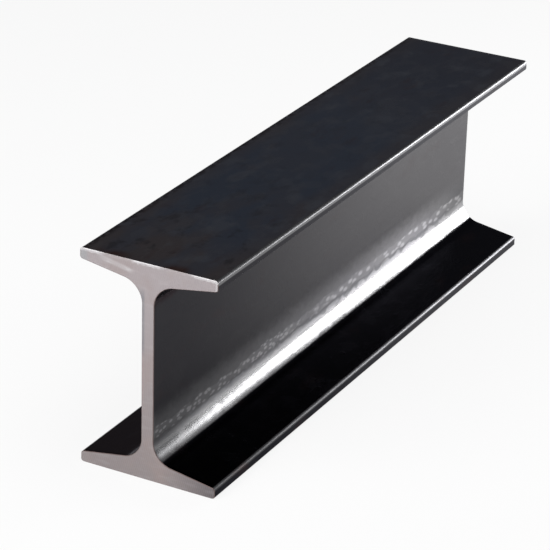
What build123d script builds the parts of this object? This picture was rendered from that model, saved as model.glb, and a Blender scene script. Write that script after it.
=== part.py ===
from build123d import *
import os

# A short length of hot-rolled steel beam, one solid: two tapered flanges joined by a web.
# Millimetres. X across the flanges, Y along the beam, Z up from the lower flange's outer face.
# The origin is the middle of that face.

# Size of the section and of the cut length
depth = 101.6
flange_width = 67.0
web_thickness = 6.0
length = 312.0

# A flange has this thickness halfway between its edge and the web, and its inner face climbs
# 1 in 6 towards the web
flange_thickness = 7.6
flange_slope = 1 / 6

# What the rolls leave along the length: the hollow at the web's root, the soft inner toe and
# outer corner of each flange, and the slight bulge of the flange's edge between them
root_radius = 10.3
toe_radius = 1.1
corner_radius = 1.2
edge_bulge = 0.4

# The saw cuts are dressed with a narrow bevel all round
end_bevel = 0.3

# Places in the section, from its centre
half_depth = depth / 2
web_face = web_thickness / 2
flange_edge = flange_width / 2 - edge_bulge
taper = flange_slope * (flange_edge - web_face)
toe_height = half_depth - flange_thickness + taper / 2
root_height = toe_height - taper


def at_height(section, height):
    """The section's corners that lie this far above or below its centre."""
    return [v for v in section.vertices() if abs(abs(v.Y) - height) < 0.001]


def rolled_section():
    """The beam's cross-section about its own centre, X across and Y up."""
    with BuildSketch() as section:
        # The upper flange, from its flat outer face round both bulged edges
        with BuildLine():
            Line((-flange_edge, half_depth), (flange_edge, half_depth))
            SagittaArc((flange_edge, half_depth), (flange_edge, toe_height), edge_bulge)
            Polyline((flange_edge, toe_height), (web_face, root_height), (-web_face, root_height),
                     (-flange_edge, toe_height))
            SagittaArc((-flange_edge, toe_height), (-flange_edge, half_depth), edge_bulge)
        make_face()
        mirror(about=Plane.XZ)
        # The web runs into both flanges
        Rectangle(web_thickness, 2 * toe_height)
        fillet(at_height(section, root_height), root_radius)
        fillet(at_height(section, toe_height), toe_radius)
        fillet(at_height(section, half_depth), corner_radius)
    return section.sketch


def sawn_length(section):
    """The section run out both ways from the middle of the length, with both cuts dressed."""
    lying = Plane(origin=(0, 0, half_depth), x_dir=(1, 0, 0), z_dir=(0, -1, 0))
    stock = extrude(lying * section, amount=length / 2, both=True)
    cuts = stock.faces().filter_by(Axis.Y)
    return chamfer(cuts.edges(), end_bevel)


beam = sawn_length(rolled_section())
beam.label = "beam"

os.makedirs("parts", exist_ok=True)
export_step(beam, "parts/beam.step")
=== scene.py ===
import logging
import math
from dataclasses import dataclass
from enum import Enum
from typing import Callable, Mapping, Optional, Sequence, Union

import bmesh
import bpy
from bmesh.types import BMEdge, BMesh, BMFace, BMVert
from mathutils import Matrix, Vector, noise


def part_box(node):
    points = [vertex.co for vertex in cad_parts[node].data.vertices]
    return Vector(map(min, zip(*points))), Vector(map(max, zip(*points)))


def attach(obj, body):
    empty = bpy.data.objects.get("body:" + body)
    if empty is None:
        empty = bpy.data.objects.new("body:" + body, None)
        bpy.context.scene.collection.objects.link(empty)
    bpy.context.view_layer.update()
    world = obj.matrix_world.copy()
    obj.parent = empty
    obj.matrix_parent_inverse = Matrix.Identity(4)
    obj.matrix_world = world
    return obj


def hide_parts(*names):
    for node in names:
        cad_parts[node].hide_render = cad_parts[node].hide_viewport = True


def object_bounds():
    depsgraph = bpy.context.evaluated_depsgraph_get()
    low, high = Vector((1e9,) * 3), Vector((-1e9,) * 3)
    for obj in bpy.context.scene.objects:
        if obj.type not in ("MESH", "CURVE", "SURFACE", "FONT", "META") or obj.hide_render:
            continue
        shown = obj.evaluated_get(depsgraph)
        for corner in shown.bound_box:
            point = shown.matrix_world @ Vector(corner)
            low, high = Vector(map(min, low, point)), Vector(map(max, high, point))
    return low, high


# A short length of hot-rolled steel beam with its mill scale on, lying on a pale studio floor.
# The model is in metres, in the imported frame: X across the flanges, Y along the beam, Z up.
# The section and the finishes are worked out in millimetres.

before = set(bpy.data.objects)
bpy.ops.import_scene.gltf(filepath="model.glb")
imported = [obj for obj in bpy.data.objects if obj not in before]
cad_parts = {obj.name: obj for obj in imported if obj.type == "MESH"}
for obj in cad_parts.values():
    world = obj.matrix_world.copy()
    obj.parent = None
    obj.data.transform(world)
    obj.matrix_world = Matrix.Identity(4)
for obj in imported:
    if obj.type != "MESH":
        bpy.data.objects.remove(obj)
CAD_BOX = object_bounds()

LOG = logging.getLogger("beam_scene")
MM = 0.001
NODE = "beam"
BODY = "root"

Colour = tuple[float, float, float]
Place = tuple[float, float, float]
Span = tuple[float, float]


class Skin(Enum):
    """The three finishes of the beam, by their place in its material slots."""

    ROLLED = 0
    SAWN = 1
    DRESSED = 2


@dataclass(frozen=True)
class Section:
    """The rolled section in millimetres from its centre. Its four quarters are alike."""

    depth: float
    width: float
    web_thickness: float = 6.0
    flange_thickness: float = 7.6
    flange_slope: float = 1 / 6
    root_radius: float = 10.3
    toe_radius: float = 1.1
    corner_radius: float = 1.2
    edge_bulge: float = 0.4

    @property
    def half_depth(self) -> float:
        """From the centre to a flange's outer face."""
        return self.depth / 2

    @property
    def web_face(self) -> float:
        """From the centre to the side of the web."""
        return self.web_thickness / 2

    @property
    def flange_edge(self) -> float:
        """Half the flange's width, less the bulge of its edge."""
        return self.width / 2 - self.edge_bulge

    @property
    def toe_height(self) -> float:
        """The height of a flange's inner face at its edge."""
        taper = self.flange_slope * (self.flange_edge - self.web_face)
        return self.half_depth - self.flange_thickness + taper / 2

    @property
    def root_height(self) -> float:
        """The height at which the sloping inner face would meet the web."""
        return self.toe_height - self.flange_slope * (self.flange_edge - self.web_face)

    @property
    def root_on_web(self) -> float:
        """The height at which the hollow at the root leaves the web."""
        return self.root_height - self.reach(self.root_radius)

    @property
    def root_on_flange(self) -> float:
        """The distance from the centre at which the hollow runs out into the flange."""
        return self.web_face + self.reach(self.root_radius) * math.cos(math.atan(self.flange_slope))

    def reach(self, radius: float) -> float:
        """How far a radius reaches along each face where a sloping inner face turns upright.

        Args:
            radius: The radius in millimetres.

        Returns:
            The length from the sharp corner to where the arc starts.
        """
        return radius * math.tan((math.pi / 2 - math.atan(self.flange_slope)) / 2)

    def quarter(self) -> list[tuple[float, float]]:
        """The corners of the upper right quarter before any rounding.

        Returns:
            x and z of the outer corner, the toe and the root.
        """
        return [
            (self.flange_edge, self.half_depth),
            (self.flange_edge, self.toe_height),
            (self.web_face, self.root_height),
        ]


@dataclass(frozen=True)
class Field:
    """A number or colour that varies over a surface, with Python's operators on it."""

    graph: "FinishGraph"
    socket: bpy.types.NodeSocket

    def __add__(self, other: "Term") -> "Field":
        """This plus another."""
        return self.graph.math("ADD", self, other)

    def __radd__(self, other: float) -> "Field":
        """A number plus this."""
        return self.graph.math("ADD", other, self)

    def __sub__(self, other: "Term") -> "Field":
        """This less another."""
        return self.graph.math("SUBTRACT", self, other)

    def __rsub__(self, other: float) -> "Field":
        """A number less this."""
        return self.graph.math("SUBTRACT", other, self)

    def __mul__(self, other: "Term") -> "Field":
        """This times another."""
        return self.graph.math("MULTIPLY", self, other)

    def __rmul__(self, other: float) -> "Field":
        """A number times this."""
        return self.graph.math("MULTIPLY", other, self)

    def __pow__(self, power: float) -> "Field":
        """This raised to a power."""
        return self.graph.math("POWER", self, power)

    def __abs__(self) -> "Field":
        """This without its sign."""
        return self.graph.math("ABSOLUTE", self)

    def step(self, start: float, end: float) -> "Field":
        """Goes smoothly from 0 to 1 while this goes from start to end, whichever is higher.

        Args:
            start: Where the result is still 0.
            end: Where the result has reached 1.

        Returns:
            The new field, held at 0 and 1 outside that range.
        """
        rises = start < end
        node = self.graph.node(
            "ShaderNodeMapRange",
            {"interpolation_type": "SMOOTHSTEP"},
            {
                "Value": self,
                "From Min": min(start, end),
                "From Max": max(start, end),
                "To Min": 0.0 if rises else 1.0,
                "To Max": 1.0 if rises else 0.0,
            },
        )
        return Field(self.graph, node.outputs["Result"])

    def between(self, low: float, high: float) -> "Field":
        """Turns a mask from 0 to 1 into a number from low to high.

        Args:
            low: The number where the mask is 0.
            high: The number where the mask is 1.

        Returns:
            The new field.
        """
        return low + (high - low) * self

    def varied(self, pattern: "Field", reach: float) -> "Field":
        """This, raised and lowered by a noise. A border drawn in a distance then wanders.

        Args:
            pattern: A noise from 0 to 1.
            reach: The whole range that it varies over.

        Returns:
            The new field.
        """
        return self + reach * (pattern - 0.5)


Term = Union[Field, float]
Tone = Union[Field, Colour]


@dataclass(frozen=True)
class Grain:
    """One soft noise pattern.

    Args:
        size: The size of its grain across, along and up the beam, in millimetres.
        shift: Where in the pattern to start, so that two patterns differ.
        detail: How many times finer grain is added.
        rough: How strong each finer grain is.
        warp: How far the pattern is pulled about.
        shows: The noise's values between which a mask made of it goes from 0 to 1, or nothing
            for the noise itself.
    """

    size: Place
    shift: float = 0.0
    detail: float = 3.0
    rough: float = 0.5
    warp: float = 0.0
    shows: Optional[Span] = None


class FinishGraph:
    """The node tree of one finish."""

    def __init__(self, name: str) -> None:
        """Starts a material with a Principled shader.

        Args:
            name: The material's name.
        """
        self.material = bpy.data.materials.new(name)
        self.material.use_nodes = True
        self.tree = self.material.node_tree
        self.shader = self.tree.nodes["Principled BSDF"]
        self.surface = self.tree.nodes["Material Output"].inputs["Surface"]

    def node(
        self, kind: str, settings: Optional[Mapping] = None, inputs: Optional[Mapping] = None
    ) -> bpy.types.Node:
        """Adds a node.

        Args:
            kind: The node's type name.
            settings: Its own properties, which are set first.
            inputs: Values or links for its sockets, by name or place.

        Returns:
            The node.
        """
        made = self.tree.nodes.new(kind)
        for name, value in (settings or {}).items():
            setattr(made, name, value)
        for key, value in (inputs or {}).items():
            if isinstance(value, (Field, bpy.types.NodeSocket)):
                self.tree.links.new(getattr(value, "socket", value), made.inputs[key])
            else:
                made.inputs[key].default_value = value
        return made

    def math(self, operation: str, *terms: Term) -> Field:
        """One Math node.

        Args:
            operation: What it does.
            terms: The numbers or fields that it works on.

        Returns:
            The result.
        """
        made = self.node("ShaderNodeMath", {"operation": operation}, dict(enumerate(terms)))
        return Field(self, made.outputs[0])

    def mix(self, share: Term, first: Tone, second: Tone) -> Field:
        """The first colour, going over to the second.

        Args:
            share: How much of the second, from 0 to 1.
            first: The colour at 0.
            second: The colour at 1.

        Returns:
            The mixed colour.
        """
        ends = [tone if isinstance(tone, Field) else (*tone, 1.0) for tone in (first, second)]
        settings = {"data_type": "RGBA", "clamp_factor": True}
        made = self.node("ShaderNodeMix", settings, {0: share, 6: ends[0], 7: ends[1]})
        return Field(self, made.outputs[2])

    def dress(self, **sockets: Union[Tone, float]) -> bpy.types.Material:
        """Feeds the Principled shader.

        Args:
            sockets: A value or field for each socket, by its name with _ for a space.

        Returns:
            The finished material.
        """
        for name, value in sockets.items():
            socket = self.shader.inputs[name.replace("_", " ")]
            if isinstance(value, Field):
                self.tree.links.new(value.socket, socket)
            else:
                socket.default_value = (*value, 1.0) if isinstance(value, tuple) else value
        return self.material


class SteelGraph(FinishGraph):
    """The node tree of a steel finish, whose patterns are drawn in millimetres over the beam."""

    # From one long piece of the burr to the next across the beam, and where one of them is.
    BURR_PITCH = 29.0
    BURR_CREST = -1.0
    # A speck's height in shares of its length, and its bright core in shares of its radius.
    SPECK_HEIGHT = 0.5
    SPECK_CORE = 0.35

    def __init__(self, name: str) -> None:
        """Starts the material and adds the beam's own coordinates.

        Args:
            name: The material's name.
        """
        super().__init__(name)
        place = self.node("ShaderNodeTexCoord").outputs["Object"]
        scaled = self.node("ShaderNodeVectorMath", {"operation": "SCALE"}, {0: place, "Scale": 1 / MM})
        self.place = scaled.outputs[0]
        axes = self.node("ShaderNodeSeparateXYZ", inputs={0: self.place})
        self.x, self.y, self.z = (Field(self, axis) for axis in axes.outputs)

    def noise(self, grain: Grain) -> Field:
        """Soft noise from 0 to 1, about 0.5, or a mask made of it.

        Args:
            grain: The pattern.

        Returns:
            The noise.
        """
        scale = tuple(1 / size for size in grain.size)
        placed = {"Vector": self.place, "Scale": scale, "Location": (grain.shift,) * 3}
        pattern = {
            "Vector": self.node("ShaderNodeMapping", inputs=placed).outputs[0],
            "Scale": 1.0,
            "Detail": grain.detail,
            "Roughness": grain.rough,
            "Distortion": grain.warp,
        }
        made = Field(self, self.node("ShaderNodeTexNoise", inputs=pattern).outputs[0])
        return made.step(*grain.shows) if grain.shows else made

    def specks(self, up: Field, pitch: float, radius: float) -> Field:
        """Soft specks, scattered over an upright face and longer than high.

        Args:
            up: The height, in millimetres.
            pitch: About how far apart the specks are along the beam.
            radius: Their radius, in shares of the pitch.

        Returns:
            1 in the middle of a speck, and 0 between them.
        """
        rows = 1 / (self.SPECK_HEIGHT * pitch)
        spot = self.node("ShaderNodeCombineXYZ", inputs={0: self.y * (1 / pitch), 1: up * rows})
        flat = {"voronoi_dimensions": "2D"}
        cells = self.node("ShaderNodeTexVoronoi", flat, {"Vector": spot.outputs[0], "Scale": 1.0})
        return Field(self, cells.outputs["Distance"]).step(radius, self.SPECK_CORE * radius)

    def ripple(self, along: Field, pitch: float, crest: float = 0.0) -> Field:
        """An even ripple from 0 to 1.

        Args:
            along: The distance that it runs along, in millimetres.
            pitch: From one crest to the next.
            crest: Where one of the crests is.

        Returns:
            The ripple.
        """
        return 0.5 + 0.5 * self.math("COSINE", (along - crest) * (2 * math.pi / pitch))

    def torn_burr(self, pattern: Field, reach: float, shows: Span) -> Field:
        """Where the burr along the top of a cut is left on, in uneven lengths across the beam.

        Args:
            pattern: A noise from 0 to 1 that frays the lengths.
            reach: How strongly it does.
            shows: The values between which the burr goes from none to whole.

        Returns:
            The mask.
        """
        return self.ripple(self.x, self.BURR_PITCH, self.BURR_CREST).varied(pattern, reach).step(*shows)

    def relief(self, height: Field) -> Field:
        """A surface normal from a height in millimetres."""
        bump = self.node("ShaderNodeBump", inputs={"Height": height, "Distance": MM})
        return Field(self, bump.outputs["Normal"])


@dataclass(frozen=True)
class ScaleLayout:
    """Where the mill scale changes: for each change, where it starts and where it is complete."""

    # Along the beam, from its middle towards the back.
    # The web, the flange edges and their highlight line pale towards the back as painted light.
    backwards: Span = (-150.0, 100.0)
    forwards: Span = (-30.0, -150.0)
    brink: Span = (-102.0, -150.0)
    scorched: Span = (-148.5, -154.0)
    nightfall: Span = (20.0, 150.0)
    # The painted sheen: brightens the lower roots, their lip and the specks, strongest behind the middle.
    glow: Span = (-150.0, 170.0)
    glow_end: Span = (158.0, 84.0)
    wide_specks: Span = (-60.0, 20.0)
    painted_left_front_shade: Span = (-60.0, -110.0)

    # Across the beam from its middle, and up from the middle of the web.
    left_side: Span = (-1.0, -4.0)
    lower_half: Span = (10.0, -10.0)

    # Away from the middle of the web, past the height at which the root's hollow leaves it.
    web: Span = (2.0, -2.0)
    web_dullness: Span = (4.0, -0.5)
    flange_face: Span = (-1.0, 5.0)
    polish: Span = (-17.0, -3.0)
    polish_wander: float = 4.95
    fading: Span = (1.2, -1.8)
    lip: Span = (0.2, 1.6)
    lip_wander: float = 10.0
    lip_end: Span = (6.0, 3.0)
    specks: Span = (-6.2, -5.0)
    specks_end: Span = (-0.6, -2.0)
    specks_wander: float = 5.0
    swell: Span = (-4.0, 1.0)
    left_shade: Span = (9.0, 6.0)

    # Away from the middle of the web, past the height of the toe.
    inside: Span = (0.6, 0.0)
    hollow_end: Span = (3.0, 1.0)
    toe: Span = (1.6, 0.8)

    # Away from the middle of the web, past the flange's outer face.
    painted_edge_highlight: Span = (-2.5, -1.9)
    painted_edge_highlight_end: Span = (-0.4, -0.9)
    corner: Span = (-0.9, -0.4)

    # Across from the middle, past where the hollow runs out into the flange.
    hollow: Span = (-3.8, -4.6)

    # Across from the middle, past the flange's edge.
    edge: Span = (-1.3, -0.7)
    behind_edge: Span = (-0.2, -1.0)
    margin: Span = (-13.0, -3.0)

    # Inwards from the left edge of the flange.
    fringe: Span = (5.0, 1.5)


class ScaleZones:
    """The places of the rolled surface, as masks from 0 to 1 over it."""

    def __init__(self, steel: SteelGraph, section: Section, at: ScaleLayout) -> None:
        """Adds the masks to a finish.

        Args:
            steel: The finish's node tree.
            section: The rolled section that they follow.
            at: Where they start and end.
        """
        middle = steel.z - section.half_depth
        across, self.up = abs(steel.x), abs(middle)
        self.past_root = self.up - section.root_on_web
        past_toe = self.up - section.toe_height
        past_face = self.up - section.half_depth
        past_edge = across - section.flange_edge

        # Along the beam: the two slow changes, of which the paler back is painted light, the last stretch
        # to the front cut, and the painted sheen.
        self.back = steel.y.step(*at.backwards)
        self.front = steel.y.step(*at.forwards)
        self.brink = steel.y.step(*at.brink)
        self.glow = steel.y.step(*at.glow) * steel.y.step(*at.glow_end)

        # The lower and upper halves, the left side, and the lower half less the left front, which is kept
        # dark as painted shade.
        self.lower = middle.step(*at.lower_half)
        self.upper = 1 - self.lower
        self.left = steel.x.step(*at.left_side)
        self.shown = self.lower * (1 - self.left * steel.y.step(*at.painted_left_front_shade))

        # Between the flanges: the web, all of the inner faces, the flanges' own, and the hollow.
        self.web = self.past_root.step(*at.web)
        self.inside = past_toe.step(*at.inside) * past_edge.step(*at.behind_edge)
        self.flange_face = self.past_root.step(*at.flange_face) * self.inside
        beside_web = (across - section.root_on_flange).step(*at.hollow)
        self.hollow = self.shown * beside_web * past_toe.step(*at.hollow_end)

        # The flange edges, and the painted highlight lines and borders along them.
        self.edge = past_edge.step(*at.edge)
        self.margin = past_edge.step(*at.margin)
        self.fringe = (steel.x + section.flange_edge).step(*at.fringe)
        upper_edge = self.edge * self.upper
        self.painted_edge_highlight = upper_edge * past_face.step(*at.painted_edge_highlight) * past_face.step(*at.painted_edge_highlight_end)
        self.corner = upper_edge * past_face.step(*at.corner)
        self.toe = self.edge * self.lower * past_toe.step(*at.toe)


@dataclass(frozen=True)
class MillScale:
    """The dark oxide skin of hot rolling: blue-black and smooth outside, greyer and duller on the
    web, polished where the rolls turn the lower roots, with a row of bright specks just above.
    The roots, their lip and the specks are painted brighter as a highlight, the web and edges pale
    towards the back as painted light, and the inner faces and the left front carry painted shade."""

    section: Section
    layout: ScaleLayout = ScaleLayout()

    # The tones of the skin.
    blue_black: Colour = (0.076, 0.094, 0.130)
    slate: Colour = (0.120, 0.132, 0.158)
    umber: Colour = (0.110, 0.096, 0.098)
    night: Colour = (0.058, 0.058, 0.074)
    # Dark blots of scale, and the dark front of the web and edges, which is painted shade.
    dark_scale_and_painted_shade: Colour = (0.034, 0.033, 0.036)
    pewter: Colour = (0.152, 0.149, 0.152)
    # Near black: painted shade on the inner faces, the left front root and the lower edges.
    painted_shade_black: Colour = (0.006, 0.006, 0.008)
    brown: Colour = (0.024, 0.0155, 0.0165)
    rust: Colour = (0.075, 0.034, 0.026)

    # The tones of the steel that shows at the roots and along the edges, most of them painted
    # highlight, with painted shade at the front.
    polished: Colour = (0.34, 0.34, 0.345)
    dim: Colour = (0.175, 0.175, 0.179)
    dim_painted_sheen: Colour = (0.14, 0.14, 0.143)
    painted_sheen: Colour = (0.50, 0.49, 0.50)
    shining: Colour = (0.36, 0.36, 0.365)
    bright: Colour = (0.70, 0.69, 0.70)
    glint: Colour = (0.88, 0.87, 0.88)
    # The painted highlight line along the edges, dimmer at the front.
    silver: Colour = (0.19, 0.19, 0.193)
    painted_edge_highlight: Colour = (0.37, 0.37, 0.38)
    painted_light_grey: Colour = (0.10, 0.10, 0.106)
    darker_corner: Colour = (0.10, 0.10, 0.103)

    # The patterns.
    clouds: Grain = Grain((22, 46, 22), 0.0, 4, 0.55)
    sheets: Grain = Grain((9, 15, 9), 3.0, 5, 0.6, 0.5, shows=(0.50, 0.58))
    streaks: Grain = Grain((3, 140, 3), 7.0, 3, 0.6)
    pores: Grain = Grain((0.9, 1.2, 0.9), 1.0, 3, 0.6)
    blooms: Grain = Grain((11, 19, 11), 17.0, 3, 0.5, shows=(0.54, 0.70))
    blots: Grain = Grain((7, 12, 7), 27.0, 3, 0.55, shows=(0.55, 0.68))
    fray: Grain = Grain((2.2, 4.0, 2.2), 37.0, 3, 0.6, shows=(0.40, 0.56))
    rags: Grain = Grain((3.2, 5.0, 3.2), 13.0, 4, 0.65)
    lumps: Grain = Grain((4, 8, 4), 43.0, 1, 0.5)
    gaps: Grain = Grain((9, 14, 9), 29.0, 1, 0.5, shows=(0.25, 0.42))
    rusting: Grain = Grain((10, 26, 10), 5.0, 5, 0.6, shows=(0.56, 0.72))

    # How strongly each shows. A pair goes with the mask's two ends.
    warm_clouds: Span = (0.42, 0.60)
    cloud_warmth: Span = (0.2, 0.7)
    border_warmth: float = 0.5
    night_share: float = 0.55
    bloom_share: float = 0.65
    blot_share: Span = (0.15, 0.55)
    fringe_share: float = 0.8
    scorch_clouds: Span = (0.3, 0.5)
    scorch_pitch: float = 31.0
    scorch_crest: float = -18.0
    glint_haze: Span = (0.2, 1.0)
    speck_share: Span = (0.3, 1.0)
    shade_share: float = 0.8
    sheet_share: float = 0.12
    sheet_on_web: Span = (1.0, 0.2)
    edge_shade: Span = (1.0, 0.5)
    toe_share: float = 0.34
    rust_share: float = 0.25
    rust_kept_off: float = 0.15

    # The specks, which are painted glints: how far apart they are along the beam, and their radius in
    # shares of that.
    near_specks: tuple[float, float] = (4.2, 0.46)
    far_specks: tuple[float, float] = (7.4, 0.42)

    # Roughness, and the heights of the relief in millimetres.
    gloss: float = 0.24
    web_dullness: float = 0.22
    edge_dullness: float = 0.18
    cloud_dullness: float = 0.08
    sheet_dullness: float = 0.05
    pore_height: float = 0.02
    streak_height: float = 0.05
    sheet_height: float = 0.02
    lump_height: float = 0.08
    smoothed: Span = (1.0, 0.15)
    grazing_tint: Colour = (0.6, 0.6, 0.62)

    def outer_skin(self, steel: SteelGraph, zones: ScaleZones, clouds: Field) -> Field:
        """The outer faces: blue-black with warmer clouds, blooms, blots and a scorched front edge.

        Args:
            steel: The finish's node tree.
            zones: The places of the surface.
            clouds: The broad pattern of the skin.

        Returns:
            The colour.
        """
        warm = clouds.step(*self.warm_clouds) * zones.front.between(*self.cloud_warmth)
        warm = warm + self.border_warmth * (zones.margin + zones.brink)
        tone = steel.mix(warm, self.blue_black, self.umber)
        tone = steel.mix(steel.y.step(*self.layout.nightfall) * self.night_share, tone, self.night)
        tone = steel.mix(steel.noise(self.blooms) * self.bloom_share, tone, self.slate)
        tone = steel.mix(steel.noise(self.blots) * zones.front.between(*self.blot_share), tone, self.dark_scale_and_painted_shade)
        tone = steel.mix(zones.fringe * steel.noise(self.fray) * self.fringe_share, tone, self.brown)
        tongues = steel.ripple(steel.x, self.scorch_pitch, self.scorch_crest) ** 2.0
        scorch = steel.y.step(*self.layout.scorched) * tongues * clouds.step(*self.scorch_clouds)
        return steel.mix(scorch * zones.upper, tone, self.rust)

    def inner_faces(self, steel: SteelGraph, zones: ScaleZones, tone: Field) -> Field:
        """The flanges' inner faces, darkened as painted shade to near black on the lower right and to dark
        brown elsewhere, and the web, which pales towards the back as painted light.

        Args:
            steel: The finish's node tree.
            zones: The places of the surface.
            tone: The colour so far.

        Returns:
            The colour.
        """
        painted_shade_inside = steel.mix(zones.lower * (1 - zones.left), self.brown, self.painted_shade_black)
        tone = steel.mix(zones.inside, tone, painted_shade_inside)
        # The web pales from dark at the front to pewter at the back: painted light.
        return steel.mix(zones.web, tone, steel.mix(zones.back, self.dark_scale_and_painted_shade, self.pewter))

    def lower_roots(
        self, steel: SteelGraph, zones: ScaleZones, tone: Field, root: Field, lumps: Field
    ) -> Field:
        """The polished lower roots, their bright lip on the flange side and the specks above, all painted
        brighter as a highlight, with painted shade on the left front.

        Args:
            steel: The finish's node tree.
            zones: The places of the surface.
            tone: The colour so far.
            root: Where the root is polished.
            lumps: The pattern that makes the borders wander.

        Returns:
            The colour.
        """
        at, past_root = self.layout, zones.past_root
        # The polished roots go dim at the front as painted shade, and the web just above them is painted
        # pale as a sheen that is strongest where the painted glow is.
        turned = steel.mix(zones.brink, self.polished, self.dim)
        above = steel.mix(zones.glow, self.dim_painted_sheen, self.painted_sheen)
        tone = steel.mix(root, tone, steel.mix(past_root.step(*at.fading), turned, above))

        # The lip is painted brighter than the polished root as a highlight, dimmer at the front.
        torn = past_root.varied(lumps, at.lip_wander)
        lip = zones.shown * torn.step(*at.lip) * past_root.step(*at.lip_end)
        dimmed = steel.mix(zones.brink, self.shining, self.dim)
        tone = steel.mix(lip, tone, steel.mix(zones.glow, dimmed, self.bright))

        # A row of painted glints above the root, with a painted haze between them.
        row = past_root.varied(lumps, at.specks_wander)
        chain = zones.shown * row.step(*at.specks) * row.step(*at.specks_end)
        far = steel.y.step(*at.wide_specks)
        specks = (1 - far) * steel.specks(zones.up, *self.near_specks)
        specks = (specks + far * steel.specks(zones.up, *self.far_specks)) * steel.noise(self.gaps)
        glints = chain * specks.between(*self.glint_haze) * zones.glow.between(*self.speck_share)
        tone = steel.mix(glints, tone, self.glint)

        # Painted shade: the left front of the lower root is darkened.
        painted_left_shade = (zones.lower - zones.shown) * past_root.step(*at.left_shade)
        return steel.mix(painted_left_shade * self.shade_share, tone, self.painted_shade_black)

    def flange_edges(self, steel: SteelGraph, zones: ScaleZones, tone: Field) -> Field:
        """The flange edges: dark, with painted shade on the lower ones and paler towards the back as
        painted light, and a painted highlight line along the upper ones and the lower toes.

        Args:
            steel: The finish's node tree.
            zones: The places of the surface.
            tone: The colour so far.

        Returns:
            The colour.
        """
        # Painted shade on the lower edges, and painted light paling all edges towards the back.
        shade = zones.lower * zones.back.between(*self.edge_shade)
        side = steel.mix(shade, steel.mix(zones.back, self.dark_scale_and_painted_shade, self.painted_light_grey), self.painted_shade_black)
        tone = steel.mix(zones.edge, tone, side)
        # A painted highlight line along the upper edges and the lower toes.
        line = zones.painted_edge_highlight + self.toe_share * zones.toe
        tone = steel.mix(line, tone, steel.mix(zones.back, self.silver, self.painted_edge_highlight))
        # Darker along the very corner, above the line.
        return steel.mix(zones.corner, tone, self.darker_corner)

    def height(
        self, steel: SteelGraph, zones: ScaleZones, sheets: Field, root: Field, lumps: Field
    ) -> Field:
        """The fine relief: pores, rolling streaks, flaking sheets, and lumps along the roots.

        Args:
            steel: The finish's node tree.
            zones: The places of the surface.
            sheets: Where a sheet of the scale stands up.
            root: Where the root is polished.
            lumps: The pattern of the lumps.

        Returns:
            The height in millimetres.
        """
        skin = self.pore_height * steel.noise(self.pores)
        skin = (skin + self.streak_height * steel.noise(self.streaks)) * (1 - zones.edge)
        height = (skin + self.sheet_height * sheets) * root.between(*self.smoothed)
        swell = zones.hollow * zones.past_root.step(*self.layout.swell)
        return height + self.lump_height * swell * (1 - zones.brink) * lumps

    def material(self) -> bpy.types.Material:
        """Makes the finish.

        Returns:
            The material.
        """
        steel = SteelGraph("mill_scale")
        at = self.layout
        zones = ScaleZones(steel, self.section, at)
        clouds, sheets, lumps = (steel.noise(grain) for grain in (self.clouds, self.sheets, self.lumps))
        ragged = zones.past_root.varied(steel.noise(self.rags), at.polish_wander)
        root = zones.hollow * ragged.step(*at.polish)

        tone = self.outer_skin(steel, zones, clouds)
        tone = self.inner_faces(steel, zones, tone)
        tone = self.lower_roots(steel, zones, tone, root, lumps)
        flakes = sheets * self.sheet_share * (1 - zones.flange_face) * zones.web.between(*self.sheet_on_web)
        tone = steel.mix(flakes, tone, self.pewter)
        tone = self.flange_edges(steel, zones, tone)
        outside = self.rust_share - self.rust_kept_off * (zones.flange_face + zones.web)
        tone = steel.mix(steel.noise(self.rusting) * outside, tone, self.rust)

        dull = self.web_dullness * zones.past_root.step(*at.web_dullness)
        rough = self.gloss + dull + self.edge_dullness * zones.edge
        rough = rough.varied(clouds, self.cloud_dullness).varied(sheets, self.sheet_dullness)
        return steel.dress(
            Base_Color=tone,
            Roughness=rough,
            Metallic=1.0,
            Specular_Tint=self.grazing_tint,
            Normal=steel.relief(self.height(steel, zones, sheets, root, lumps)),
        )


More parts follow.
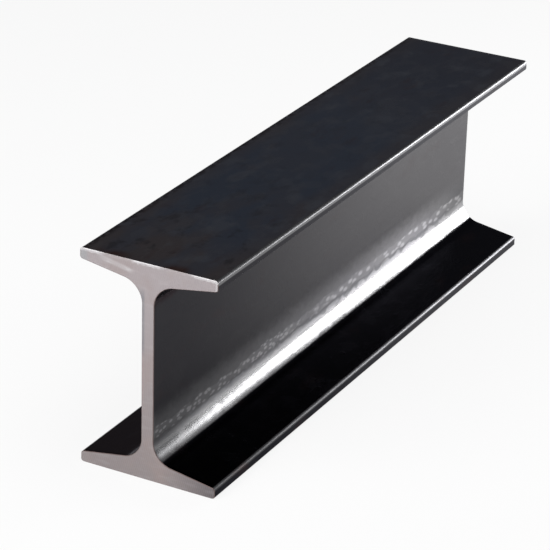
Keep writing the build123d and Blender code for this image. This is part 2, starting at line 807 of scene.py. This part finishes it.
@dataclass(frozen=True)
class SawnSteel:
    """Bare grey steel with a breath of rust on it and the fine curved lines of the saw."""

    section: Section
    saw_pitch: float = 0.9
    blade_radius: float = 175.0
    blade_wobble: float = 0.4

    # The cut is painted lighter at the top and darker at its foot, as light from above.
    upper: Colour = (0.415, 0.365, 0.375)
    lower: Colour = (0.28, 0.24, 0.24)
    ruddy: Colour = (0.36, 0.27, 0.25)
    mauve: Colour = (0.078, 0.064, 0.072)
    bluish: Colour = (0.38, 0.385, 0.40)
    bright: Colour = (0.70, 0.68, 0.69)
    painted_strip_shade: Colour = (0.235, 0.235, 0.255)

    clouds: Grain = Grain((16, 40, 16), 0.0, 4, 0.55, 0.4)
    grit: Grain = Grain((1.1, 1.1, 1.1), 2.0, 3, 0.6)
    smears: Grain = Grain((9, 40, 2.4), 33.0, 3, 0.5, shows=(0.50, 0.70))
    frayed: Grain = Grain((2.2, 2.2, 1.1), 9.0, 4, 0.6)

    # How strongly each shows. A pair goes with the mask's two ends.
    rust_clouds: Span = (0.45, 0.75)
    rust_share: float = 0.5
    mauve_share: float = 0.8
    mauve_power: float = 1.5
    bluish_share: Span = (0.1, 0.8)
    strip_shade_share: float = 0.8
    scuff_share: Span = (0.35, 0.65)
    burr_share: Span = (0.12, 0.82)
    hook_share: float = 0.6
    grit_share: float = 0.08
    line_share: float = 0.06
    smear_share: float = 0.07

    # The mauve lower right and the bluish left tips, in millimetres.
    mauve_start: float = 2.0
    mauve_past_edge: float = 3.0
    bluish_tip: Span = (5.0, 2.0)

    # The shaded strip on the left of the web, and the scuff on the upper left arm, in millimetres.
    strip_shade_middle: float = 74.0
    strip_shade_end: Span = (17.0, 11.0)
    strip_shade_side: Span = (1.7, 0.8)
    scuff_drop: float = 6.7
    scuff_slope: float = 0.2
    scuff_width: Span = (1.7, 0.4)
    scuff_start: Span = (-26.0, -20.0)
    scuff_end: Span = (-6.0, -10.0)

    # The burr along the top of the cut, bright there also as a painted highlight, and the hook that it
    # leaves at the right tip, in millimetres.
    burr: Span = (-1.6, -0.6)
    burr_wander: float = 2.4
    burr_fray: float = 0.5
    burr_lengths: Span = (0.3, 0.8)
    hook_across: Span = (-1.5, -0.3)
    hook_up: Span = (-8.0, -4.0)

    roughness: float = 0.50
    grit_dullness: float = 0.12
    cloud_dullness: float = 0.1
    mark_height: float = 0.02
    metal: float = 0.35

    def bare_face(self, steel: SteelGraph, clouds: Field) -> Field:
        """The face of the cut: lighter at the top than at the bottom as painted light, ruddy clouds, a
        mauve lower right and a bluish upper left.

        Args:
            steel: The finish's node tree.
            clouds: The broad pattern of the rust.

        Returns:
            The colour.
        """
        edge = self.section.flange_edge
        # Painted light: the colour rises from the lower tone to the upper one.
        rise = (steel.z * (1 / self.section.depth)).step(0.0, 1.0)
        tone = steel.mix(rise, self.lower, self.upper)
        tone = steel.mix(clouds.step(*self.rust_clouds) * self.rust_share, tone, self.ruddy)
        rightwards = steel.x.step(self.mauve_start, edge + self.mauve_past_edge) ** self.mauve_power
        tone = steel.mix(rightwards * (1 - rise) * self.mauve_share, tone, self.mauve)
        left_tip = (steel.x + edge).step(*self.bluish_tip)
        return steel.mix(left_tip * rise.between(*self.bluish_share), tone, self.bluish)

    def marks(self, steel: SteelGraph, tone: Field, smears: Field) -> Field:
        """The shaded strip on the left of the web and the pale scuff on the upper left arm.

        Args:
            steel: The finish's node tree.
            tone: The colour so far.
            smears: The pattern that breaks the scuff up.

        Returns:
            The colour.
        """
        # Painted shade along the left of the web.
        strip = (steel.x + self.section.web_face).step(*self.strip_shade_side)
        strip = strip * abs(steel.z - self.strip_shade_middle).step(*self.strip_shade_end)
        tone = steel.mix(strip * self.strip_shade_share, tone, self.painted_strip_shade)
        off_line = abs(steel.z + self.scuff_slope * steel.x - (self.section.depth - self.scuff_drop))
        reach = steel.x.step(*self.scuff_start) * steel.x.step(*self.scuff_end)
        scuff = off_line.step(*self.scuff_width) * reach * smears.between(*self.scuff_share)
        return steel.mix(scuff, tone, self.bright)

    def burr_and_painted_top_highlight(self, steel: SteelGraph, grit: Field) -> Field:
        """The burr along the top of the cut, which is also a painted highlight from above, and the burr at
        its right tip.

        Args:
            steel: The finish's node tree.
            grit: The fine pattern that frays it.

        Returns:
            How much of it there is.
        """
        below_top = steel.z - self.section.depth
        line = below_top.varied(steel.noise(self.frayed), self.burr_wander).step(*self.burr)
        lengths = steel.torn_burr(grit, self.burr_fray, self.burr_lengths)
        tip = (steel.x - self.section.flange_edge).step(*self.hook_across) * below_top.step(*self.hook_up)
        return line * lengths.between(*self.burr_share) + self.hook_share * tip

    def material(self) -> bpy.types.Material:
        """Makes the finish.

        Returns:
            The material.
        """
        steel = SteelGraph("sawn_steel")
        clouds, grit, smears = (steel.noise(grain) for grain in (self.clouds, self.grit, self.smears))
        from_blade = (steel.x + self.blade_radius) ** 2.0 + (steel.z - self.section.half_depth) ** 2.0
        lines = steel.ripple(from_blade ** 0.5 + self.blade_wobble * clouds, self.saw_pitch)
        tone = self.marks(steel, self.bare_face(steel, clouds), smears)
        worked = self.grit_share * grit + self.line_share * lines + self.smear_share * smears
        tone = steel.mix(worked + self.burr_and_painted_top_highlight(steel, grit), tone, self.bright)
        rough = (self.roughness + self.cloud_dullness * (clouds - 0.5)).varied(grit, self.grit_dullness)
        return steel.dress(
            Base_Color=tone,
            Roughness=rough,
            Metallic=self.metal,
            Normal=steel.relief(self.mark_height * (lines + grit + clouds)),
        )


@dataclass(frozen=True)
class DressedEdge:
    """The narrow bevel round each cut: rusty below, and bright above where the burr came off, which
    is partly a painted highlight from above.
    """

    section: Section
    bright: Colour = (0.72, 0.70, 0.71)
    rusty: Colour = (0.17, 0.125, 0.12)
    patches: Grain = Grain((3, 3, 3), 0.0, 4, 0.6)
    burr: Span = (-2.0, -0.8)
    burr_fray: float = 1.2
    burr_lengths: Span = (0.2, 0.8)
    burr_share: Span = (0.35, 0.95)
    roughness: Span = (0.42, 0.52)
    patch_height: float = 0.08
    metal: float = 0.6

    def material(self) -> bpy.types.Material:
        """Makes the finish.

        Returns:
            The material.
        """
        steel = SteelGraph("dressed_edge")
        patches = steel.noise(self.patches)
        # Bright only along the top: bare steel, and a painted highlight from above.
        burr = (steel.z - self.section.depth).step(*self.burr)
        lengths = steel.torn_burr(patches, self.burr_fray, self.burr_lengths)
        return steel.dress(
            Base_Color=steel.mix(burr * lengths.between(*self.burr_share), self.rusty, self.bright),
            Roughness=patches.between(*self.roughness),
            Metallic=self.metal,
            Normal=steel.relief(self.patch_height * patches),
        )


@dataclass
class RolledBeam:
    """The beam's visible surface: the rolled section run out to its length, with two sawn ends."""

    section: Section
    length: float
    end_bevel: float = 0.3
    end_segments: int = 2
    root_segments: int = 16
    corner_segments: int = 6
    sharp_angle: float = 50.0

    # The grid of the long faces, and how far it stays off a toe or a root.
    cell: float = 2.4
    toe_margin: float = 2.0
    root_margin: float = 1.0

    # How faces and corners are told apart: a part of the normal, an area, and a distance.
    flat: float = 0.999
    tilted: Span = (0.9, 0.995)
    sidelong: float = 0.1
    smallest: float = 100.0
    near: float = 0.01

    # The waviness that rolling leaves: its depth and the size of its waves, and the bulge's border.
    waviness: float = 0.05
    waves: Place = (20.0, 55.0, 20.0)
    bulge_border: float = 3.0

    def blank(self) -> BMesh:
        """The sharp-cornered section run out to the beam's length.

        Returns:
            A closed bmesh in millimetres, about the section's centre.
        """
        bm = bmesh.new()
        right = self.section.quarter() + [(x, -z) for x, z in reversed(self.section.quarter())]
        outline = right + [(-x, z) for x, z in reversed(right)]
        start = [bm.verts.new((x, -self.length / 2, z)) for x, z in outline]
        run_out = bmesh.ops.extrude_face_region(bm, geom=[bm.faces.new(start)], use_keep_orig=True)
        moved = [v for v in run_out["geom"] if isinstance(v, BMVert)]
        bmesh.ops.translate(bm, verts=moved, vec=(0, self.length, 0))
        bmesh.ops.recalc_face_normals(bm, faces=bm.faces)
        return bm

    def runs_along(self, edge: BMEdge) -> bool:
        """Whether an edge runs along the beam from end to end, or nearly."""
        return abs(edge.verts[0].co.y - edge.verts[1].co.y) > self.length / 2

    def long_edges(self, bm: BMesh, corner: tuple[float, float]) -> list[BMEdge]:
        """The four edges along the beam at one kind of corner.

        Args:
            bm: The mesh.
            corner: x and z of that corner in the upper right quarter.

        Returns:
            The edges.
        """
        found = []
        for edge in bm.edges:
            place = edge.verts[0].co
            if self.runs_along(edge) and math.dist((abs(place.x), abs(place.z)), corner) < self.near:
                found.append(edge)
        return found

    def round_off(self, bm: BMesh, edges: list[BMEdge], reach: float, segments: int) -> list[BMFace]:
        """Rounds some edges.

        Args:
            bm: The mesh.
            edges: The edges.
            reach: How far the rounding reaches along the faces beside an edge.
            segments: How many faces go round.

        Returns:
            The new faces.
        """
        made = bmesh.ops.bevel(
            bm, geom=edges, offset=reach, offset_type="OFFSET",
            segments=segments, profile=0.5, affect="EDGES", material=-1, clamp_overlap=False,
        )
        return made["faces"]

    def roll_corners(self, bm: BMesh) -> None:
        """Rounds the section's roots, toes and outer corners along the whole length.

        Args:
            bm: The mesh.
        """
        s = self.section
        outer, toe, root = s.quarter()
        for corner, reach, segments in (
            (root, s.reach(s.root_radius), self.root_segments),
            (toe, s.reach(s.toe_radius), self.corner_segments),
            (outer, s.corner_radius, self.corner_segments),
        ):
            self.round_off(bm, self.long_edges(bm, corner), reach, segments)

    def dress_ends(self, bm: BMesh) -> None:
        """Marks the two sawn faces and bevels their edges.

        Args:
            bm: The mesh.
        """
        ends = [f for f in bm.faces if abs(f.normal.y) > self.flat]
        for face in ends:
            face.material_index = Skin.SAWN.value
        around = list({e for f in ends for e in f.edges})
        for face in self.round_off(bm, around, self.end_bevel, self.end_segments):
            face.material_index = Skin.DRESSED.value

    def cut(
        self, bm: BMesh, wanted: Callable[[BMFace], bool], normal: Vector, places: Sequence[float]
    ) -> None:
        """Slices some of the faces by parallel planes.

        Args:
            bm: The mesh.
            wanted: Says which faces to slice.
            normal: The planes' direction.
            places: The planes' distances from the centre along it.
        """
        for place in places:
            faces = [f for f in bm.faces if wanted(f)]
            around = [*{e for f in faces for e in f.edges}, *{v for f in faces for v in f.verts}]
            bmesh.ops.bisect_plane(bm, geom=faces + around, plane_co=normal * place, plane_no=normal)

    def grid(self, bm: BMesh) -> None:
        """Divides the long flat faces, and then the whole length, into small cells.

        Args:
            bm: The mesh.
        """
        s = self.section
        low, high = self.tilted
        rightwards, upwards = Vector((1, 0, 0)), Vector((0, 0, 1))
        toe, root, web = (
            s.flange_edge - self.toe_margin,
            s.root_on_flange + self.root_margin,
            s.root_on_web - self.root_margin,
        )

        def outer(face: BMFace) -> bool:
            """Whether this is a flange's flat outer face."""
            return abs(face.normal.z) > self.flat

        def sloping(face: BMFace) -> bool:
            """Whether this is a flange's sloping inner face."""
            leans = low < abs(face.normal.z) < high and abs(face.normal.y) < self.sidelong
            return leans and face.calc_area() > self.smallest

        def upright(face: BMFace) -> bool:
            """Whether this is a side of the web."""
            beside = abs(abs(face.calc_center_median().x) - s.web_face) < self.near
            return beside and abs(face.normal.x) > self.flat

        self.cut(bm, outer, rightwards, spread(-toe, toe, self.cell))
        for side in (1, -1):
            self.cut(bm, sloping, side * rightwards, spread(root, toe, self.cell))
        self.cut(bm, upright, upwards, spread(-web, web, self.cell))
        along = [e for e in bm.edges if self.runs_along(e)]
        bmesh.ops.subdivide_edges(bm, edges=along, cuts=round(self.length / self.cell), use_grid_fill=True)

    def uneven(self, bm: BMesh) -> None:
        """Bulges the flange edges, and gives the faces the slight waviness that rolling leaves.

        Args:
            bm: The mesh.
        """
        s = self.section
        middle, half = (s.half_depth + s.toe_height) / 2, (s.half_depth - s.toe_height) / 2
        bm.normal_update()
        moves = []
        for vert in bm.verts:
            x, _, z = vert.co
            bulge = max(0.0, 1 - ((abs(z) - middle) / half) ** 2)
            out = s.edge_bulge * bulge * smooth(abs(x), s.flange_edge - self.bulge_border, s.flange_edge)
            spot = Vector(along / wave for along, wave in zip(vert.co, self.waves))
            dent = self.waviness * (0.5 + 0.5 * noise.noise(spot))
            moves.append(Vector((math.copysign(out, x), 0, 0)) - vert.normal * dent)
        for vert, move in zip(bm.verts, moves):
            vert.co += move

    def build(self) -> bpy.types.Object:
        """Models the beam and dresses it.

        Returns:
            The beam's object.
        """
        bm = self.blank()
        self.roll_corners(bm)
        self.dress_ends(bm)
        self.grid(bm)
        self.uneven(bm)
        bmesh.ops.translate(bm, verts=bm.verts, vec=(0, 0, self.section.half_depth))
        bmesh.ops.scale(bm, verts=bm.verts, vec=(MM, MM, MM))
        for face in bm.faces:
            face.smooth = True
        piece = stand("rolled_beam", bm)
        piece.data.set_sharp_from_angle(angle=math.radians(self.sharp_angle))
        normals = piece.modifiers.new("even_normals", "WEIGHTED_NORMAL")
        normals.keep_sharp = True
        finishes = {Skin.ROLLED: MillScale, Skin.SAWN: SawnSteel, Skin.DRESSED: DressedEdge}
        for skin in Skin:
            piece.data.materials.append(finishes[skin](self.section).material())
        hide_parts(NODE)
        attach(piece, BODY)
        return piece


def spread(low: float, high: float, step: float) -> list[float]:
    """Evenly spaced places from one value to another.

    Args:
        low: The first place.
        high: The last place.
        step: The most that two neighbours may be apart.

    Returns:
        The places.
    """
    count = max(1, math.ceil((high - low) / step))
    return [low + (high - low) * i / count for i in range(count + 1)]


def smooth(value: float, low: float, high: float) -> float:
    """A smooth rise from 0 to 1.

    Args:
        value: The value to look at.
        low: Where the rise starts.
        high: Where it ends.

    Returns:
        The share, from 0 to 1.
    """
    t = min(1.0, max(0.0, (value - low) / (high - low)))
    return t * t * (3 - 2 * t)


def stand(name: str, bm: BMesh) -> bpy.types.Object:
    """Puts a finished bmesh into the scene.

    Args:
        name: The object's name.
        bm: The mesh, which is freed.

    Returns:
        The new object.
    """
    mesh = bpy.data.meshes.new(name)
    bm.to_mesh(mesh)
    bm.free()
    return place_in_scene(name, mesh)


def place_in_scene(name: str, data: bpy.types.ID) -> bpy.types.Object:
    """Makes an object of a mesh, lamp or camera and links it to the scene.

    Args:
        name: The object's name.
        data: What it holds.

    Returns:
        The new object.
    """
    made = bpy.data.objects.new(name, data)
    bpy.context.scene.collection.objects.link(made)
    return made


def facing(place: Vector, back: Vector) -> Matrix:
    """Where a lamp or camera stands and how it is turned.

    Args:
        place: Its place.
        back: The direction away from what it looks at.

    Returns:
        The matrix.
    """
    return Matrix.Translation(place) @ back.to_track_quat("Z", "Y").to_matrix().to_4x4()


@dataclass(frozen=True)
class Lamp:
    """One soft rectangular studio lamp."""

    name: str
    place: Place
    aim: Place
    size: tuple[float, float]
    watts: float

    def hang(self) -> bpy.types.Object:
        """Puts the lamp up, facing its aim.

        Returns:
            The lamp's object.
        """
        data = bpy.data.lights.new(self.name, "AREA")
        data.shape = "RECTANGLE"
        data.size, data.size_y = self.size
        data.energy = self.watts
        held = place_in_scene(self.name, data)
        held.matrix_world = facing(Vector(self.place), Vector(self.place) - Vector(self.aim))
        return held


@dataclass(frozen=True)
class Studio:
    """The pale floor, the soft lamps and the camera, in metres and degrees."""

    azimuth: float = 27.98
    elevation: float = 24.51
    roll: float = 1.58
    distance: float = 1.26821
    lens: float = 174.94
    sensor: float = 36.0
    clip: Span = (0.05, 50.0)
    aim: Place = (-0.02346, 0.0, 0.03036)
    sky: Colour = (0.22, 0.22, 0.227)
    floor_half_width: float = 6.0
    floor_colour: Colour = (0.86, 0.86, 0.86)
    floor_roughness: float = 0.9
    floor_glow: float = 0.85
    lamps: tuple[Lamp, ...] = (
        Lamp("window", (0.365, 0.70, 0.16), (0.365, 0.0, 0.16), (0.37, 0.31), 4.6),
        Lamp("side", (0.64, 0.72, 0.42), (0.64, 0.0, 0.42), (0.34, 0.25), 0.3),
        Lamp("front", (-0.42, -0.89, 0.74), (0.0, 0.0, 0.05), (0.9, 0.7), 9.0),
        Lamp("overhead", (0.27, -0.16, 1.21), (0.0, 0.0, 0.05), (0.8, 0.8), 6.0),
    )

    def camera(self) -> bpy.types.Object:
        """Puts the camera where the photograph was taken from.

        Returns:
            The camera's object.
        """
        data = bpy.data.cameras.new("camera")
        data.lens, data.sensor_width, data.sensor_fit = self.lens, self.sensor, "HORIZONTAL"
        data.clip_start, data.clip_end = self.clip
        held = place_in_scene("camera", data)
        turn, above = math.radians(self.azimuth), math.radians(self.elevation)
        level = math.cos(above)
        back = Vector((math.sin(turn) * level, -math.cos(turn) * level, math.sin(above)))
        lean = Matrix.Rotation(math.radians(self.roll), 4, "Z")
        held.matrix_world = facing(Vector(self.aim) + back * self.distance, back) @ lean
        bpy.context.scene.camera = held
        return held

    def floor(self) -> bpy.types.Object:
        """Lays a wide pale floor that reads as white and still takes the beam's shadow.

        Returns:
            The floor's object.
        """
        bm = bmesh.new()
        bmesh.ops.create_grid(bm, x_segments=1, y_segments=1, size=self.floor_half_width)
        bmesh.ops.translate(bm, verts=bm.verts, vec=(0, 0, CAD_BOX[0].z))
        laid = stand("floor", bm)
        graph = FinishGraph("pale_floor")
        graph.dress(Base_Color=self.floor_colour, Roughness=self.floor_roughness, Specular_IOR_Level=0.0)
        path = graph.node("ShaderNodeLightPath")
        kinds = ("Is Camera Ray", "Is Glossy Ray", "Is Transmission Ray")
        direct, mirrored, through = (Field(graph, path.outputs[kind]) for kind in kinds)
        seen = graph.math("MAXIMUM", graph.math("MAXIMUM", direct, mirrored), through)
        glow = graph.node("ShaderNodeEmission", inputs={"Color": (1, 1, 1, 1), "Strength": 1.0})
        shaders = {0: seen * self.floor_glow, 1: graph.shader.outputs[0], 2: glow.outputs[0]}
        graph.tree.links.new(graph.node("ShaderNodeMixShader", inputs=shaders).outputs[0], graph.surface)
        laid.data.materials.append(graph.material)
        return laid

    def light(self) -> None:
        """Hangs the lamps and sets the even light of the room."""
        for lamp in self.lamps:
            hung = lamp.hang()
            LOG.info("lamp %s: %.1f W at %s", hung.name, lamp.watts, lamp.place)
        world = bpy.data.worlds.new("studio")
        world.use_nodes = True
        world.node_tree.nodes["Background"].inputs["Color"].default_value = (*self.sky, 1.0)
        bpy.context.scene.world = world
        bpy.context.scene.view_settings.view_transform = "Standard"


def main() -> None:
    """Builds the beam and its studio."""
    logging.basicConfig(level=logging.INFO, format="%(name)s: %(message)s")
    low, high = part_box(NODE)
    size = (high - low) / MM
    beam = RolledBeam(section=Section(depth=size.z, width=size.x), length=size.y)
    piece = beam.build()
    triangles = sum(len(p.vertices) - 2 for p in piece.data.polygons)
    LOG.info("%s: %d vertices, %d triangles", piece.name, len(piece.data.vertices), triangles)
    studio = Studio()
    floor = studio.floor()
    LOG.info("%s: %.1f m wide", floor.name, floor.dimensions.x)
    studio.light()
    camera = studio.camera()
    LOG.info("%s: lens %.1f mm", camera.name, camera.data.lens)


if __name__ == "__main__":
    main()
